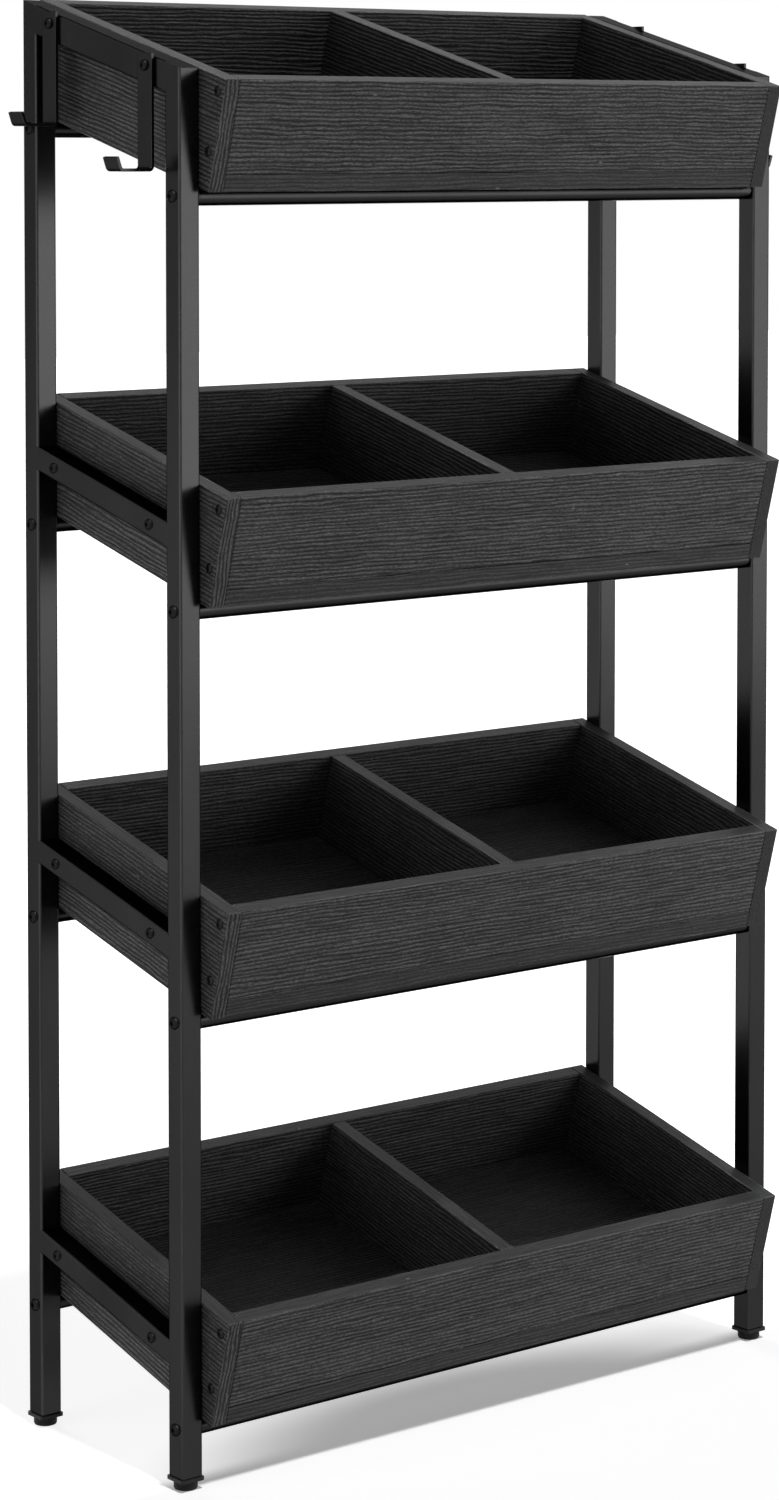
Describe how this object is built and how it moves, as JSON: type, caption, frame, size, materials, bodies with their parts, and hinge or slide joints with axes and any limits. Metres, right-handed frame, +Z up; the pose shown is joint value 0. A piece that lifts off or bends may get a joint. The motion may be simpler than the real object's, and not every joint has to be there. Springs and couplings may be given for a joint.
{
  "type": "retail display rack",
  "caption": "Floor-standing display rack: tiered, tilted wooden bins, each split by a divider, on a black square-tube frame with side hooks and levelling feet.",
  "frame": {"origin": "on the floor under the middle of the whole rack", "axes": "+X to the right-hand side for someone in front of the rack, -Y towards that person, +Z up"},
  "size_m": [0.7346, 0.2896, 1.223],
  "materials": {
    "frame_steel": "satin black powder coat",
    "rail_steel": "satin black powder coat",
    "crossbar_steel": "satin black powder coat",
    "hook_steel": "satin black powder coat",
    "bin_board": "black laminated board with an embossed grain",
    "cap_plastic": "black moulded plastic",
    "foot_plastic": "black moulded plastic",
    "stud_steel": "zinc-plated steel"
  },
  "bodies": {
    "rack": {"upright_front_left": "frame_steel", "end_cap_front_left": "cap_plastic", "hook_front_left": "hook_steel", "upright_front_right": "frame_steel", "end_cap_front_right": "cap_plastic", "hook_front_right": "hook_steel", "upright_rear_left": "frame_steel", "end_cap_rear_left": "cap_plastic", "hook_rear_left": "hook_steel", "upright_rear_right": "frame_steel", "end_cap_rear_right": "cap_plastic", "hook_rear_right": "hook_steel", "side_rail_tier_1_left": "rail_steel", "side_rail_tier_1_right": "rail_steel", "crossbar_tier_1_front": "crossbar_steel", "crossbar_tier_1_rear": "crossbar_steel", "bin_1_left_side": "bin_board", "bin_1_right_side": "bin_board", "bin_1_bottom": "bin_board", "bin_1_front": "bin_board", "bin_1_back": "bin_board", "bin_1_divider": "bin_board", "side_rail_tier_2_left": "rail_steel", "side_rail_tier_2_right": "rail_steel", "crossbar_tier_2_front": "crossbar_steel", "crossbar_tier_2_rear": "crossbar_steel", "bin_2_left_side": "bin_board", "bin_2_right_side": "bin_board", "bin_2_bottom": "bin_board", "bin_2_front": "bin_board", "bin_2_back": "bin_board", "bin_2_divider": "bin_board", "side_rail_tier_3_left": "rail_steel", "side_rail_tier_3_right": "rail_steel", "crossbar_tier_3_front": "crossbar_steel", "crossbar_tier_3_rear": "crossbar_steel", "bin_3_left_side": "bin_board", "bin_3_right_side": "bin_board", "bin_3_bottom": "bin_board", "bin_3_front": "bin_board", "bin_3_back": "bin_board", "bin_3_divider": "bin_board", "side_rail_tier_4_left": "rail_steel", "side_rail_tier_4_right": "rail_steel", "crossbar_tier_4_front": "crossbar_steel", "crossbar_tier_4_rear": "crossbar_steel", "bin_4_left_side": "bin_board", "bin_4_right_side": "bin_board", "bin_4_bottom": "bin_board", "bin_4_front": "bin_board", "bin_4_back": "bin_board", "bin_4_divider": "bin_board"},
    "foot_front_left": {"foot_pad_front_left": "foot_plastic", "foot_stud_front_left": "stud_steel"},
    "foot_front_right": {"foot_pad_front_right": "foot_plastic", "foot_stud_front_right": "stud_steel"},
    "foot_rear_left": {"foot_pad_rear_left": "foot_plastic", "foot_stud_rear_left": "stud_steel"},
    "foot_rear_right": {"foot_pad_rear_right": "foot_plastic", "foot_stud_rear_right": "stud_steel"}
  },
  "joints": [
    {"name": "foot_height_front_left", "type": "slide", "parent": "rack", "child": "foot_front_left", "axis": [0, 0, -1], "range_m": [0, 0.012]},
    {"name": "foot_height_front_right", "type": "slide", "parent": "rack", "child": "foot_front_right", "axis": [0, 0, -1], "range_m": [0, 0.012]},
    {"name": "foot_height_rear_left", "type": "slide", "parent": "rack", "child": "foot_rear_left", "axis": [0, 0, -1], "range_m": [0, 0.012]},
    {"name": "foot_height_rear_right", "type": "slide", "parent": "rack", "child": "foot_rear_right", "axis": [0, 0, -1], "range_m": [0, 0.012]}
  ]
}
